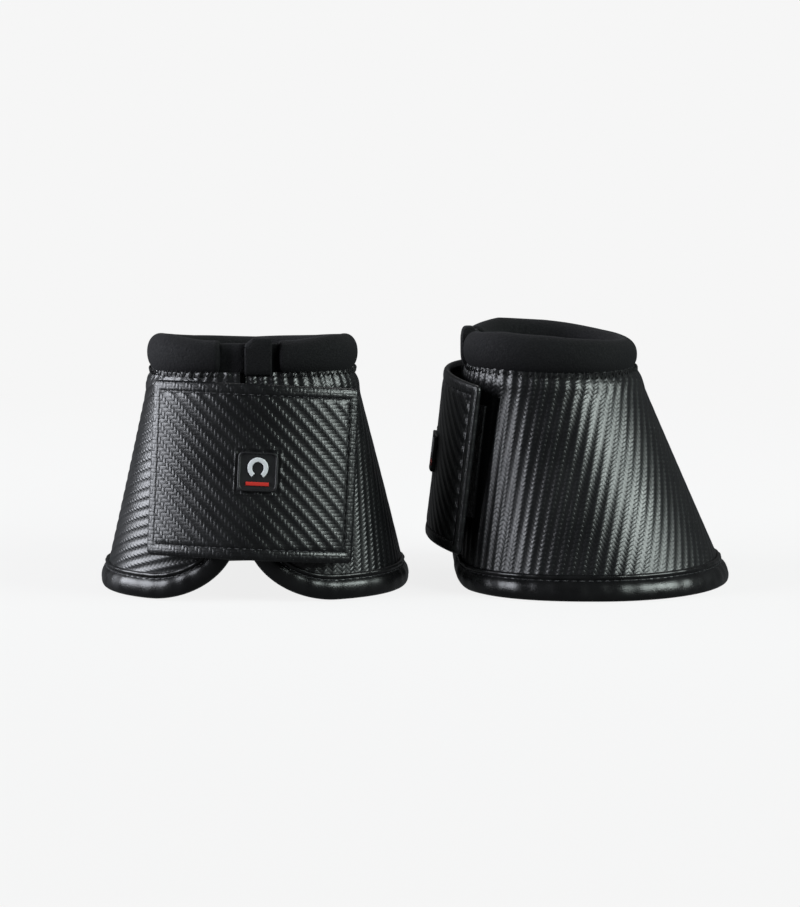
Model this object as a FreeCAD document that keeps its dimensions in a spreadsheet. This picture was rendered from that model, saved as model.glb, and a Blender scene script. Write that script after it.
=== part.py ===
import FreeCAD, Part, Sketcher
import math
import os

from FreeCAD import Placement, Rotation, Vector

# A pair of over-reach (bell) boots for a horse's front hooves.  Each boot is an oblique
# bell, open at the front, with a rolled collar on top, a bound lower edge that rises into a
# notch, and two laps that close the front.  Boot frame: -Y is the front with its closure, +X is
# to the right for someone who faces the closure, +Z is up, and the origin is on the ground under
# the widest section.

doc = FreeCAD.newDocument("OverReachBoots")

# ---------------------------------------------------------------- driving dimensions (mm, deg)
sheet = doc.addObject("Spreadsheet::Sheet", "Dimensions")
DRIVING = [
    ("base_half_width", 83.7, "bell at the ground, side to side"),
    ("base_half_depth", 76.0, "bell at the ground, front to back"),
    ("neck_half_width", 55.0, "bell at the collar seam"),
    ("neck_half_depth", 46.5, "bell at the collar seam"),
    ("neck_forward", 24.0, "how far the neck's centre lies forward of the base's"),
    ("shell_height", 120.5, "ground to collar seam at the neck's centre"),
    ("neck_tilt", 1.5, "the collar seam falls towards the heel"),
    ("front_fullness", 2.5, "power of the front half's oval; 2 is an ellipse"),
    ("shell_thick", 2.5, "embossed PU with its foam backing"),
    ("lining_thick", 3.5, "neoprene lining"),
    ("binding_height", 13.0, "PU binding round the lower edge"),
    ("binding_proud", 1.8, "the binding stands off the shell outside"),
    ("binding_inside", 1.2, "the binding stands off the lining inside"),
    ("notch_centre", -4.5, "the front opening is a little left of centre"),
    ("notch_half_width", 53.0, "at the ground"),
    ("notch_rise", 38.0, "where the notch has narrowed to the split"),
    ("split_half_width", 2.0, "gap between the shell's two front edges"),
    ("collar_thick", 13.0, "rolled collar, across the roll"),
    ("collar_tall", 22.0, "rolled collar, up and down"),
    ("collar_cover_thick", 2.0, "neoprene cover round the foam roll"),
    ("collar_gap_left", -15.7, "where the collar's left end stops"),
    ("collar_gap_right", 15.4, "where the collar's right end starts"),
    ("collar_proud", 2.0, "the roll stands a little outside the shell"),
    ("tongue_thick", 6.0, "lower piece that bridges the collar's opening"),
    ("tongue_set_back", 5.0, "the tongue lies behind the roll's face"),
    ("tongue_lower", 2.0, "the tongue is lower than the roll"),
    ("tab_left", -2.5, "raised band over the collar's opening, its left edge"),
    ("tab_right", 11.8, "its right edge"),
    ("tab_thick", 5.0, "how far the band reaches into the roll"),
    ("tab_proud", 3.0, "the band stands off the collar"),
    ("flap_radius", 96.0, "outer flap's curve about an upright axis"),
    ("flap_half_width", 55.3, "half of the chord across the flap"),
    ("flap_bottom", 25.3, "flap's lower edge over the ground, along the flap"),
    ("flap_top", 118.7, "flap's upper edge"),
    ("flap_lean", 6.5, "the flap's foot stands forward of its head"),
    ("flap_roll", 2.6, "the flap sits a little turned, clockwise from the front"),
    ("flap_foot_x", -1.5, "flap's centre line at the ground"),
    ("flap_foot_y", -95.2, "how far forward the flap's centre line is at the ground"),
    ("flap_skin", 1.2, "embossed PU"),
    ("flap_foam", 1.4, "padding"),
    ("flap_back", 0.8, "fabric backing"),
    ("flap_hem", 6.0, "width of the bound edge"),
    ("flap_hem_proud", 0.4, "the bound edge stands off the face"),
    ("hook_thick", 1.4, "hook tape"),
    ("hook_left", 14.0, "flap's hook tape, from the flap's centre line"),
    ("hook_right", 42.0, "its other side"),
    ("hook_above", 20.0, "the hook tape starts this far over the flap's lower edge"),
    ("hook_below", 14.0, "and ends this far under its upper edge"),
    ("loop_thick", 1.6, "loop tape"),
    ("lap_clear", 0.4, "air between hook and loop where they belong to different pieces"),
    ("lap_thick", 1.8, "inner lap"),
    ("lap_left", -43.0, "inner lap's sewn edge"),
    ("lap_right", 13.0, "inner lap's free end"),
    ("lap_bottom", 42.0, "inner lap's lower edge"),
    ("lap_top", 96.0, "inner lap's upper edge"),
    ("lap_hook_inset", 3.0, "its hook tape stops short of both edges"),
    ("root_wide", 9.0, "strip by which the inner lap is sewn down"),
    ("root_start", 1.0, "the strip starts this far left of the lap"),
    ("root_clear", 0.3, "air between that strip and the lap"),
    ("loop_left", -1.5, "loop panel on the shell's right front"),
    ("loop_right", 45.0, "its other side"),
    ("loop_bottom", 40.0, "its lower edge"),
    ("loop_top", 101.0, "its upper edge"),
    ("anchor_wide", 9.0, "seam allowance under the flap's sewn edge"),
    ("anchor_start", 1.0, "the allowance starts this far outside the flap"),
    ("anchor_short", 4.0, "and is shorter than the flap at both ends"),
    ("anchor_clear", 0.7, "air between the allowance and the flap"),
    ("badge_side", 21.0, "square rubber badge"),
    ("badge_thick", 2.2, "badge, base to face"),
    ("badge_corner", 2.5, "radius of the badge's corners"),
    ("badge_x", 3.1, "badge's centre on the flap, from the flap's centre line"),
    ("badge_z", 72.3, "badge's centre over the ground, along the flap"),
    ("motif_raised", 0.5, "motif over the badge's face"),
    ("shoe_radius", 5.4, "horseshoe, outside"),
    ("shoe_hole", 3.0, "horseshoe, inside"),
    ("shoe_up", 2.2, "horseshoe's centre over the badge's centre"),
    ("shoe_mouth", 3.6, "gap between the horseshoe's heels"),
    ("bar_long", 12.0, "bar under the horseshoe"),
    ("bar_tall", 2.0, "the bar, up and down"),
    ("bar_down", 7.4, "the bar's lower edge under the badge's centre"),
    ("pair_half_gap", 93.0, "half the distance between the two boots' centres"),
    ("pair_x", 3.9, "moves the pair so that its box is centred"),
    ("pair_y", 7.53, "how far back the boots' centres lie"),
    ("left_forward", 8.0, "the left boot stands this far in front of the right one"),
]
for row, (alias, value, note) in enumerate(DRIVING, start=1):
    sheet.set(f"A{row}", note)
    sheet.set(f"B{row}", str(value))
    sheet.setAlias(f"B{row}", alias)
doc.recompute()


def dim(alias):
    """One driving dimension as a plain number."""
    return float(sheet.get(alias))


SECTION_POINTS = 36   # points on each level's oval
FAR = 200.0           # further out than any face of a boot
BELOW = 2.0           # how far a cutting solid runs past the face it opens
FRONT_BACK_SPLIT = -10.0   # y of the plane that parts the front half, with its notch, from the back
ANCHOR_REACH = 26.0   # further back than the shell is under the flap's sewn edge
OVER_TOP = 6.0        # how far the walls are lofted past the collar seam before they are cut
WALL = dim("shell_thick") + dim("lining_thick")


# ---------------------------------------------------------------- the bell's walls
def section_wire(height, offset):
    """The bell's outline at one level, offset outwards: round at the back, fuller in front."""
    share = height / dim("shell_height")
    half_width = dim("base_half_width") * (1 - share) + dim("neck_half_width") * share + offset
    half_depth = dim("base_half_depth") * (1 - share) + dim("neck_half_depth") * share + offset
    middle = -dim("neck_forward") * share
    points = []
    for step in range(SECTION_POINTS):
        angle = 2 * math.pi * step / SECTION_POINTS
        across, along = math.cos(angle), math.sin(angle)
        power = 2 / (dim("front_fullness") if along < 0 else 2.0)
        points.append(Vector(math.copysign(abs(across) ** power, across) * half_width,
                             math.copysign(abs(along) ** power, along) * half_depth + middle,
                             height))
    curve = Part.BSplineCurve()
    curve.interpolate(Points=points, PeriodicFlag=True)
    return Part.Wire([curve.toShape()])


def bell_solid(low, high, offset):
    """The bell as a full solid between two levels."""
    return Part.makeLoft([section_wire(low, offset), section_wire(high, offset)], True, True)


def bell_wall(low, high, inner, outer):
    """A wall of the bell between two offsets."""
    return bell_solid(low, high, outer).cut(bell_solid(low - BELOW, high + BELOW, inner))


def front_prism(wire):
    """A closed outline in the XZ plane, run through the front half of the boot."""
    face = Part.Face(wire)
    face.translate(Vector(0, -FAR, 0))
    return face.extrude(Vector(0, FAR + FRONT_BACK_SPLIT, 0))


def block(low, high):
    """A box between two corners."""
    size = [b - a for a, b in zip(low, high)]
    return Part.makeBox(*size, Vector(*low))


def below_neck():
    """All space under the tilted collar seam."""
    slab = block((-FAR, -FAR, -FAR), (FAR, FAR, 0))
    slab.Placement = neck_place()
    return slab


def neck_place():
    """Frame of the collar seam: centred on the neck, tilted down towards the heel."""
    return Placement(Vector(0, -dim("neck_forward"), dim("shell_height")),
                     Rotation(Vector(1, 0, 0), -dim("neck_tilt")))


# ---------------------------------------------------------------- the front notch and split
def lobe_outline(side, inset, floor):
    """One lobe's outline in XZ: a quarter ellipse from the floor up to the split's edge."""
    reach = dim("notch_half_width") - dim("split_half_width") - inset
    rise = dim("notch_rise") - inset
    centre = Vector(dim("notch_centre") + side * dim("notch_half_width"), 0, dim("notch_rise"))
    ellipse_points = []
    for step in range(9):
        turn = math.pi / 2 * step / 8
        ellipse_points.append(centre + Vector(-side * reach * math.sin(turn), 0,
                                              -rise * math.cos(turn)))
    quarter = Part.BSplineCurve()
    quarter.interpolate(Points=ellipse_points)
    edge_x = centre.x - side * reach
    split_x = dim("notch_centre") + side * dim("split_half_width")
    corners = [ellipse_points[-1]]
    if inset:
        corners.append(Vector(split_x, 0, dim("notch_rise")))
    corners += [Vector(split_x if inset else edge_x, 0, FAR),
                Vector(side * FAR, 0, FAR), Vector(side * FAR, 0, floor),
                Vector(centre.x, 0, floor), ellipse_points[0]]
    edges = [quarter.toShape()]
    for start, end in zip(corners, corners[1:]):
        if (end - start).Length > 1e-6:
            edges.append(Part.LineSegment(start, end).toShape())
    return Part.Wire(edges)


def lobes(inset, floor):
    """Where the shell's material is, seen from the front, and all of the back."""
    left = front_prism(lobe_outline(-1, inset, floor))
    right = front_prism(lobe_outline(1, inset, floor))
    back = block((-FAR, FRONT_BACK_SPLIT, floor), (FAR, FAR, FAR))
    return left.fuse(right).fuse(back)


# ---------------------------------------------------------------- shapes of one boot
def feature(label, shape, place):
    """A document object that holds one finished shape."""
    item = doc.addObject("Part::Feature", label)
    item.Label = label
    item.Shape = shape
    item.Placement = place
    return item


def lofted_shapes():
    """Shell, lining, binding, loop panel and inner lap, as they lie on the bell."""
    neck = below_neck()
    top = dim("shell_height") + OVER_TOP
    inside_binding = lobes(dim("binding_height"), dim("binding_height"))
    cut_edge = lobes(0.0, 0.0)
    shell = bell_wall(0, top, -dim("shell_thick"), 0).common(neck).common(inside_binding)
    lining = bell_wall(0, top, -WALL, -dim("shell_thick")).common(neck).common(inside_binding)
    bound = bell_wall(0, dim("notch_rise"), -WALL - dim("binding_inside"),
                      dim("binding_proud")).common(cut_edge).cut(inside_binding)
    loop = bell_wall(0, top, 0, dim("loop_thick")).common(
        block((dim("loop_left"), -FAR, dim("loop_bottom")),
              (dim("loop_right"), 0, dim("loop_top"))))
    hook_in = dim("loop_thick") + dim("lap_clear")
    hook_out = hook_in + dim("hook_thick")
    lap_out = hook_out + dim("lap_thick")
    lap = bell_wall(0, top, hook_out, lap_out).common(
        block((dim("lap_left"), -FAR, dim("lap_bottom")), (dim("lap_right"), 0, dim("lap_top"))))
    lap_hook = bell_wall(0, top, hook_in, hook_out).common(
        block((dim("loop_left"), -FAR, dim("lap_bottom") + dim("lap_hook_inset")),
              (dim("lap_right") - 1, 0, dim("lap_top") - dim("lap_hook_inset"))))
    lap_root = bell_wall(0, top, 0, hook_out - dim("root_clear")).common(
        block((dim("lap_left") - dim("root_start"), -FAR, dim("lap_bottom")),
              (dim("lap_left") + dim("root_wide"), 0, dim("lap_top"))))
    return {"outer_shell": shell, "neoprene_lining": lining, "edge_binding": bound,
            "loop_panel": loop, "inner_lap": lap, "inner_lap_hook_tape": lap_hook,
            "inner_lap_root_strip": lap_root}


def roll(across, tall, inward):
    """A ring with a rounded section that follows the neck, in the collar seam's frame."""
    half_width = dim("neck_half_width") - inward
    half_depth = dim("neck_half_depth") - inward
    round_off = min(across, tall) * 0.46
    outer = oval_block(half_width, half_depth, tall)
    inner = oval_block(half_width - across, half_depth - across, tall + 2 * BELOW)
    inner.translate(Vector(0, 0, -BELOW))
    ring = outer.cut(inner)
    rims = [edge for edge in ring.Edges if edge.BoundBox.ZLength < 0.01]
    return ring.makeFillet(round_off, rims)


def oval_block(half_width, half_depth, tall):
    """An upright elliptical cylinder."""
    ellipse = Part.Ellipse(Vector(0, 0, 0), half_width, half_depth)
    return Part.Face(Part.Wire([ellipse.toShape()])).extrude(Vector(0, 0, tall))


def collar_shapes():
    """Rolled collar: cover, foam, the tongue that bridges its opening, the raised tab."""
    tall, cover = dim("collar_tall"), dim("collar_cover_thick")
    spread = -dim("collar_proud")
    whole = roll(dim("collar_thick"), tall, spread)
    core = roll(dim("collar_thick") - 2 * cover, tall - 2 * cover, spread + cover)
    core.translate(Vector(0, 0, cover))
    gap = block((dim("collar_gap_left"), -FAR, -FAR), (dim("collar_gap_right"), 0, FAR))
    wide_gap = block((dim("collar_gap_left") - 2, -FAR, -FAR),
                     (dim("collar_gap_right") + 2, 0, FAR))
    foam = core.cut(wide_gap)
    skin = whole.cut(gap).cut(foam)
    tongue = roll(dim("tongue_thick"), tall - dim("tongue_lower"),
                  spread + dim("tongue_set_back")).common(gap)
    tab = roll(dim("tab_thick") + dim("tab_proud"), tall, spread - dim("tab_proud")).common(
        block((dim("tab_left"), -FAR, -FAR), (dim("tab_right"), 0, FAR)))
    return {"collar_cover": skin, "collar_foam_roll": foam, "collar_tongue": tongue,
            "collar_tab": tab}


# ---------------------------------------------------------------- outer flap, as Part objects
def flap_place():
    """Frame of the outer flap: its outermost line is the frame's Z axis."""
    turn = Rotation(Vector(0, 1, 0), dim("flap_roll")).multiply(
        Rotation(Vector(1, 0, 0), -dim("flap_lean")))
    return Placement(Vector(dim("flap_foot_x"), dim("flap_foot_y"), 0), turn)


def bind(item, **bindings):
    """Ties an object's sizes to the sheet."""
    for name, expression in bindings.items():
        item.setExpression(name.replace("__", "."), expression)


def curved_plate(label, depth, thick, left, right, low, high):
    """A plate bent round the flap's axis, between two depths under its outer surface."""
    parts = []
    for kind, radius in (("outside", f"{depth}"), ("inside", f"{depth} + {thick}")):
        tube = doc.addObject("Part::Cylinder", f"{label}_{kind}")
        bind(tube, Radius=f"Dimensions.flap_radius - ({radius})",
             Height="Dimensions.flap_top + 20",
             Placement__Base__y="Dimensions.flap_radius")
        parts.append(tube)
    ring = doc.addObject("Part::Cut", f"{label}_ring")
    ring.Base, ring.Tool = parts
    window = doc.addObject("Part::Box", f"{label}_window")
    bind(window, Length=f"({right}) - ({left})", Width="Dimensions.flap_radius * 0.6",
         Height=f"({high}) - ({low})", Placement__Base__x=left,
         Placement__Base__y="-10", Placement__Base__z=low)
    plate = doc.addObject("Part::Common", label)
    plate.Base, plate.Tool = ring, window
    return plate


def named(item, label, place):
    """Gives a finished sub-part its label and its place on the boot."""
    item.Label = label
    item.Placement = place
    return item


def flap_objects(prefix, place):
    """Outer flap: PU skin, foam, backing and hook tape inside a bound edge."""
    half, low, high = "Dimensions.flap_half_width", "Dimensions.flap_bottom", "Dimensions.flap_top"
    hem = "Dimensions.flap_hem"
    layers = [("outer_flap_skin", "0", "Dimensions.flap_skin"),
              ("outer_flap_padding", "Dimensions.flap_skin", "Dimensions.flap_foam"),
              ("outer_flap_backing", "Dimensions.flap_skin + Dimensions.flap_foam",
               "Dimensions.flap_back")]
    made = []
    for name, depth, thick in layers:
        plate = curved_plate(prefix + name, depth, thick, f"-{half} + {hem}", f"{half} - {hem}",
                             f"{low} + {hem}", f"{high} - {hem}")
        made.append(named(plate, prefix + name, place))
    full = "Dimensions.flap_skin + Dimensions.flap_foam + Dimensions.flap_back"
    border = curved_plate(prefix + "hem_blank", "-Dimensions.flap_hem_proud",
                          f"{full} + Dimensions.flap_hem_proud", f"-{half}", half, low, high)
    opening = doc.addObject("Part::Box", prefix + "hem_opening")
    bind(opening, Length=f"2 * ({half} - {hem})", Width="Dimensions.flap_radius * 0.7",
         Height=f"{high} - {low} - 2 * {hem}", Placement__Base__x=f"-({half} - {hem})",
         Placement__Base__y="-20", Placement__Base__z=f"{low} + {hem}")
    hem_frame = doc.addObject("Part::Cut", prefix + "outer_flap_hem")
    hem_frame.Base, hem_frame.Tool = border, opening
    made.append(named(hem_frame, prefix + "outer_flap_hem", place))
    hook = curved_plate(prefix + "outer_flap_hook_tape", full, "Dimensions.hook_thick",
                        "Dimensions.hook_left", "Dimensions.hook_right",
                        f"{low} + Dimensions.hook_above", f"{high} - Dimensions.hook_below")
    made.append(named(hook, prefix + "outer_flap_hook_tape", place))
    return made


# ---------------------------------------------------------------- rubber badge, PartDesign
def badge_place():
    """The badge lies on the flap's face: its sketch plane faces forwards."""
    reach = dim("badge_x") / dim("flap_radius")
    radius = dim("flap_radius")
    spot = Vector(radius * math.sin(reach), radius * (1 - math.cos(reach)), dim("badge_z"))
    facing = Rotation(Vector(0, 0, 1), math.degrees(reach)).multiply(
        Rotation(Vector(1, 0, 0), 90))
    return Placement(spot, facing)


def origin_plane(body, role):
    """One of a body's own origin planes."""
    return next(item for item in body.Origin.OriginFeatures if item.Role == role)


def badge_base(prefix, place):
    """Square moulded badge with rounded corners; it sinks a little into the flap's curve."""
    body = doc.addObject("PartDesign::Body", prefix + "badge")
    body.Label = prefix + "badge"
    sketch = body.newObject("Sketcher::SketchObject", prefix + "badge_outline")
    sketch.AttachmentSupport = [(origin_plane(body, "XY_Plane"), "")]
    sketch.MapMode = "FlatFace"
    half = dim("badge_side") / 2
    corners = [Vector(-half, -half, 0), Vector(half, -half, 0), Vector(half, half, 0),
               Vector(-half, half, 0)]
    for start, end in zip(corners, corners[1:] + corners[:1]):
        sketch.addGeometry(Part.LineSegment(start, end), False)
    for edge in range(4):
        sketch.addConstraint(Sketcher.Constraint("Coincident", edge, 2, (edge + 1) % 4, 1))
    for edge, direction in enumerate(("Horizontal", "Vertical", "Horizontal", "Vertical")):
        sketch.addConstraint(Sketcher.Constraint(direction, edge))
    sketch.addConstraint(Sketcher.Constraint("Symmetric", 0, 1, 1, 2, -1, 1))
    width = sketch.addConstraint(Sketcher.Constraint("DistanceX", 0, 1, 0, 2, 2 * half))
    tall = sketch.addConstraint(Sketcher.Constraint("DistanceY", 1, 1, 1, 2, 2 * half))
    sketch.setExpression(f"Constraints[{width}]", "Dimensions.badge_side")
    sketch.setExpression(f"Constraints[{tall}]", "Dimensions.badge_side")
    pad = body.newObject("PartDesign::Pad", prefix + "badge_slab")
    pad.Profile = sketch
    pad.setExpression("Length", "Dimensions.badge_thick")
    doc.recompute()
    upright = [f"Edge{n + 1}" for n, edge in enumerate(pad.Shape.Edges)
               if edge.BoundBox.ZLength > 1 and edge.BoundBox.XLength < 0.01]
    fillet = body.newObject("PartDesign::Fillet", prefix + "badge_corners")
    fillet.Base = (pad, upright)
    fillet.setExpression("Radius", "Dimensions.badge_corner")
    body.Placement = place
    return body


def badge_motif(prefix, place):
    """Raised motif on the badge: a plain horseshoe over a bar, moulded in lighter rubber."""
    raised, radius = dim("motif_raised"), dim("shoe_radius")
    centre = Vector(0, dim("shoe_up"), dim("badge_thick"))
    ring = Part.makeCylinder(radius, raised, centre).cut(
        Part.makeCylinder(dim("shoe_hole"), raised, centre))
    mouth = Part.makeBox(dim("shoe_mouth"), radius, raised,
                         centre - Vector(dim("shoe_mouth") / 2, radius, 0))
    bar = Part.makeBox(dim("bar_long"), dim("bar_tall"), raised,
                       Vector(-dim("bar_long") / 2, -dim("bar_down"), dim("badge_thick")))
    return feature(prefix + "badge_motif", Part.Compound([ring.cut(mouth), bar]), place)


def flap_anchor(place, boot_shapes):
    """Sewn seam allowance between the shell and the outer flap's root."""
    short = dim("anchor_short")
    strip = Part.makeBox(dim("anchor_wide"), ANCHOR_REACH,
                         dim("flap_top") - dim("flap_bottom") - 2 * short,
                         Vector(-dim("flap_half_width") - dim("anchor_start"), 0,
                                dim("flap_bottom") + short))
    layers = dim("flap_skin") + dim("flap_foam") + dim("flap_back") + dim("anchor_clear")
    under = Part.makeCylinder(dim("flap_radius") - layers, FAR,
                              Vector(0, dim("flap_radius"), 0))
    strip = strip.common(under)
    strip.Placement = place
    bell = bell_solid(0, dim("shell_height"), 0)
    return strip.cut(bell).cut(boot_shapes["inner_lap_root_strip"])


# ---------------------------------------------------------------- the pair
lofted = lofted_shapes()
collar = collar_shapes()
lofted["outer_flap_anchor"] = flap_anchor(flap_place(), lofted)
BOOTS = {"left_": Placement(Vector(dim("pair_x") - dim("pair_half_gap"),
                                   dim("pair_y") - dim("left_forward"), 0),
                            Rotation(Vector(0, 0, 1), 0)),
         "right_": Placement(Vector(dim("pair_x") + dim("pair_half_gap"), dim("pair_y"), 0),
                             Rotation(Vector(0, 0, 1), -90))}
sub_parts = []
for prefix, boot in BOOTS.items():
    for name, shape in lofted.items():
        sub_parts.append(feature(prefix + name, shape, boot))
    for name, shape in collar.items():
        sub_parts.append(feature(prefix + name, shape, boot.multiply(neck_place())))
    on_flap = boot.multiply(flap_place())
    sub_parts += flap_objects(prefix, on_flap)
    sub_parts.append(badge_base(prefix, on_flap.multiply(badge_place())))
    sub_parts.append(badge_motif(prefix, on_flap.multiply(badge_place())))

doc.recompute()
for item in doc.Objects:
    if "Invalid" in item.State or "Error" in item.State:
        raise RuntimeError(f"{item.Label} failed: {item.State}")
for item in sub_parts:
    if item.Shape.isNull() or not item.Shape.isValid() or not item.Shape.Solids:
        raise RuntimeError(f"{item.Label} has no valid shape")

os.makedirs("parts", exist_ok=True)
for item in sub_parts:
    item.Shape.exportStep(f"parts/{item.Label}.step")

whole = FreeCAD.BoundBox()
for item in sub_parts:
    whole.add(item.Shape.BoundBox)
print("box", whole, "nodes", len(sub_parts))
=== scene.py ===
import math

import bmesh
import bpy
import numpy as np
from mathutils import Matrix, Vector


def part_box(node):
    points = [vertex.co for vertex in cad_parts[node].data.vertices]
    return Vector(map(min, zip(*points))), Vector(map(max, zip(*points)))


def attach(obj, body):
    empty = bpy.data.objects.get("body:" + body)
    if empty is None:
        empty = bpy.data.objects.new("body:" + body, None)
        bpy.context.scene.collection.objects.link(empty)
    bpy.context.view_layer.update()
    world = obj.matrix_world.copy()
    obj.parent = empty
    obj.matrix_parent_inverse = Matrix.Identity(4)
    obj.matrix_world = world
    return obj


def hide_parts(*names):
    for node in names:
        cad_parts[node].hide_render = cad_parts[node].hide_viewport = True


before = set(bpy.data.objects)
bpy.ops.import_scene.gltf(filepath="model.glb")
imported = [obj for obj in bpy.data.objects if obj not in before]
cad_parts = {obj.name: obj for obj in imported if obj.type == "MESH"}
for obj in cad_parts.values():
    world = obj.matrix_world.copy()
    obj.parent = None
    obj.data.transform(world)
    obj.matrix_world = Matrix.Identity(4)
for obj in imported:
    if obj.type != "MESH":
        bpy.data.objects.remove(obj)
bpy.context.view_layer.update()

bpy.ops.object.select_all(action="DESELECT")
MM = 0.001
MATH = "ShaderNodeMath"

# ---------------------------------------- studio
# A pale seamless floor, one large soft box on the left, a narrower one at the right front and a
# weak one overhead, seen through a long lens at table height, as small goods are usually shown.

LOOK_AT = Vector((-0.0092, 0.0042, 0.0700))
camera_data = bpy.data.cameras.new("camera")
camera_data.sensor_fit = "HORIZONTAL"
camera_data.lens = 162.8
camera_data.clip_end = 100.0
camera = bpy.data.objects.new("camera", camera_data)
bpy.context.collection.objects.link(camera)
camera.location = (LOOK_AT.x, -1.981, 0.317)
camera.rotation_euler = (LOOK_AT - camera.location).to_track_quat("-Z", "Y").to_euler()
bpy.context.scene.camera = camera
bpy.context.scene.view_settings.view_transform = "Standard"


def to_linear(sheet_hex):
    """An sRGB hex colour as linear RGBA."""
    parts = [int(sheet_hex[i:i + 2], 16) / 255 for i in (1, 3, 5)]
    return tuple(c / 12.92 if c <= 0.04045 else ((c + 0.055) / 1.055) ** 2.4 for c in parts) + (1.0,)


def add(tree, kind, *sources, named=None, **settings):
    """Adds one node, sets it and feeds its inputs, in order and then by name or number, with a
    value, a socket or a node's first output; None leaves an input alone."""
    node = tree.nodes.new(kind)
    for name, value in settings.items():
        setattr(node, name, value)
    feeds = list(zip(node.inputs, sources))
    feeds += [(node.inputs[key], source) for key, source in (named or {}).items()]
    for socket, source in feeds:
        source = source.outputs[0] if isinstance(source, bpy.types.Node) else source
        if isinstance(source, bpy.types.NodeSocket):
            tree.links.new(source, socket)
        elif source is not None:
            socket.default_value = source
    return node


def blank_material(name):
    """A new material with an empty node tree."""
    material = bpy.data.materials.new(name)
    material.use_nodes = True
    material.node_tree.nodes.clear()
    return material


def soft_box(name, azimuth, height, away, size, watts, tint="#ffffff"):
    """A rectangular soft box that faces the boots; azimuth is 0 in front, positive to the right."""
    data = bpy.data.lights.new(name, "AREA")
    data.shape = "RECTANGLE"
    data.size, data.size_y = size
    data.energy = watts
    data.color = to_linear(tint)[:3]
    light = bpy.data.objects.new(name, data)
    bpy.context.collection.objects.link(light)
    turn = math.radians(azimuth)
    light.location = (away * math.sin(turn), -away * math.cos(turn), height)
    light.rotation_euler = (Vector((0, 0, 0.06)) - light.location).to_track_quat("-Z", "Y").to_euler()


soft_box("left_box", -84, 0.58, 1.9, (2.0, 1.1), 76.0, "#f4f7ff")
soft_box("right_front_box", 64, 0.80, 1.9, (1.5, 0.65), 40.0, "#f3fffb")
soft_box("top_box", 170, 1.7, 1.0, (1.0, 0.6), 8.0)

world = bpy.data.worlds.new("studio")
bpy.context.scene.world = world
world.use_nodes = True
tree = world.node_tree
tree.nodes.clear()
backdrop = add(tree, "ShaderNodeBackground", to_linear("#f6f6f6"), 1.0)
room = add(tree, "ShaderNodeBackground", to_linear("#c6cacd"), 0.12)
path = add(tree, "ShaderNodeLightPath")
both = add(tree, "ShaderNodeMixShader", path.outputs["Is Camera Ray"], room, backdrop)
add(tree, "ShaderNodeOutputWorld", both)

bpy.ops.mesh.primitive_circle_add(vertices=96, radius=40.0, fill_type="NGON", location=(0, 0, -0.0004))
floor = bpy.context.object
floor.name = "floor"
pale = blank_material("pale_paper")
tree = pale.node_tree
# evenly lit paper: nearly shadowless near the boots, and even far away
spot = add(tree, "ShaderNodeTexCoord").outputs["Object"]
near = add(tree, "ShaderNodeTexGradient", spot, gradient_type="SPHERICAL").outputs[1]
shadowed = add(tree, MATH, near, 0.10, operation="MULTIPLY")
glow = add(tree, "ShaderNodeEmission", to_linear("#f6f6f6"), 1.0)
paper = add(tree, "ShaderNodeBsdfDiffuse", to_linear("#f6f6f6"), 1.0)
seen = add(tree, "ShaderNodeMixShader", shadowed, glow, paper)
bounce = add(tree, "ShaderNodeEmission", to_linear("#c6cacd"), 0.16)
path = add(tree, "ShaderNodeLightPath")
mixed = add(tree, "ShaderNodeMixShader", path.outputs["Is Camera Ray"], bounce, seen)
add(tree, "ShaderNodeOutputMaterial", mixed)
floor.data.materials.append(pale)
bpy.ops.object.select_all(action="DESELECT")

# ---------------------------------------- the bell's form
# Each boot is one flat cut of PU wrapped into an oblique bell: rounder at the heel, fuller in
# front, with the neck well forward of the ground edge.  Sizes in mm in the boot's own frame.

BASE_OVAL = (83.7, 76.0, 0.0)       # half width, half depth, centre's y at the ground
NECK_OVAL = (55.0, 46.5, -24.0)     # the same at the collar seam
SHELL_HEIGHT = 120.5
SHELL_THICK = 2.5
WALL_THICK = 6.0                    # shell and lining together
BINDING_PROUD = 1.8
WALL_INSET = 9.0                    # the wall's raw edge lies this far up inside the binding
NECK_TILT = math.radians(1.5)
SPLIT_X = -4.5
SPLIT_HALF = 2.0
SPLIT_LEVEL = 60.0                  # the split's sides follow the wall from this height
NOTCH_HALF = 53.0
NOTCH_RISE = 38.0


def oval_table(half_width, half_depth, middle):
    """An oval's points by share of its length: 0 in front, 0.25 on the right, 0.5 at the heel."""
    turn = np.linspace(-np.pi, np.pi, 4001)
    power = np.where(np.cos(turn) > 0, 0.8, 1.0)
    x = half_width * np.sign(np.sin(turn)) * np.abs(np.sin(turn)) ** power
    y = middle - half_depth * np.sign(np.cos(turn)) * np.abs(np.cos(turn)) ** power
    arc = np.concatenate(([0.0], np.cumsum(np.hypot(np.diff(x), np.diff(y)))))
    return arc / arc[-1] - 0.5, x, y, arc[-1]


base_table = oval_table(*BASE_OVAL)
neck_table = oval_table(*NECK_OVAL)
BASE_ROUND, NECK_ROUND = base_table[3], neck_table[3]


def ring(table, share):
    """Points and unit tangents of one oval at shares of its length."""
    share = (np.asarray(share, float) + 0.5) % 1.0 - 0.5
    x, y = np.interp(share, table[0], table[1]), np.interp(share, table[0], table[2])
    ahead, behind = (share + 0.504) % 1.0 - 0.5, (share + 0.496) % 1.0 - 0.5
    tx = np.interp(ahead, table[0], table[1]) - np.interp(behind, table[0], table[1])
    ty = np.interp(ahead, table[0], table[2]) - np.interp(behind, table[0], table[2])
    size = np.hypot(tx, ty)
    return x, y, tx / size, ty / size


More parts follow.
